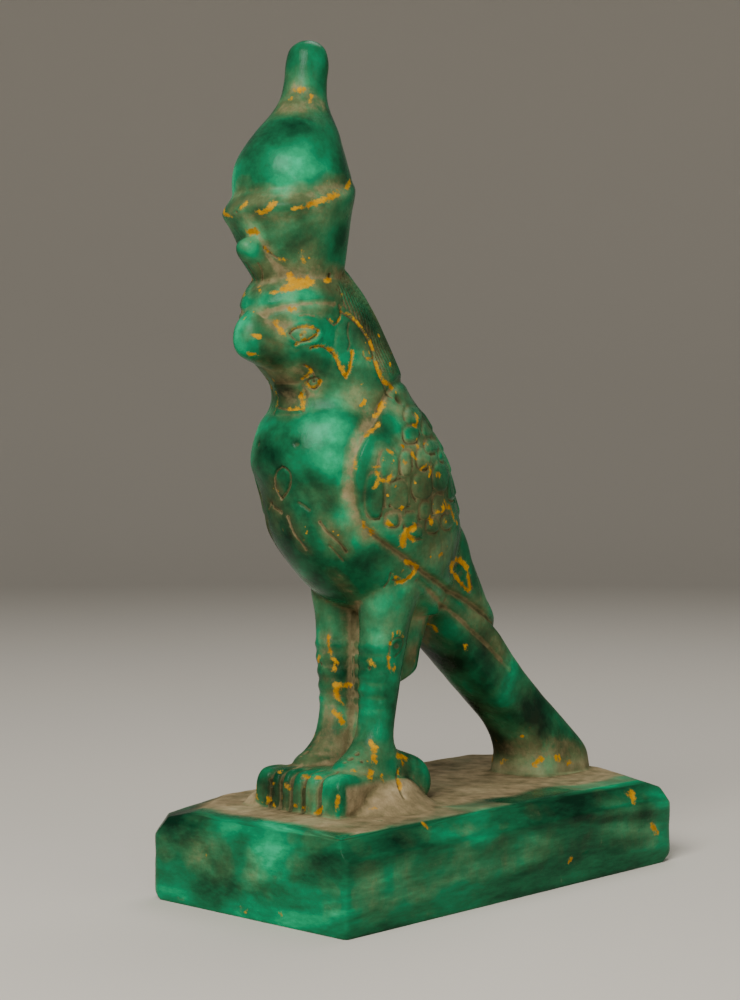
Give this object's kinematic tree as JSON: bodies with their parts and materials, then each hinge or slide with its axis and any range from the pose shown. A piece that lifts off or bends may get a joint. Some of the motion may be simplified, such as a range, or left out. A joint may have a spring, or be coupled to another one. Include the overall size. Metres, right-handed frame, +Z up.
{
  "type": "falcon god statue",
  "caption": "Carved green stone falcon in a tall double crown, standing on a low rectangular plinth cut from the same block.",
  "frame": {"origin": "middle of the plinth's underside", "axes": "+Z up to the crown's knob, -Y the way the falcon looks, +X its left side"},
  "size_m": [0.0645, 0.1243, 0.1997],
  "materials": {
    "polished_green_stone": "polished, with dust in the cuts and traces of ochre pigment"
  },
  "bodies": {
    "root": {"falcon_statue": "polished_green_stone"}
  },
  "joints": []
}
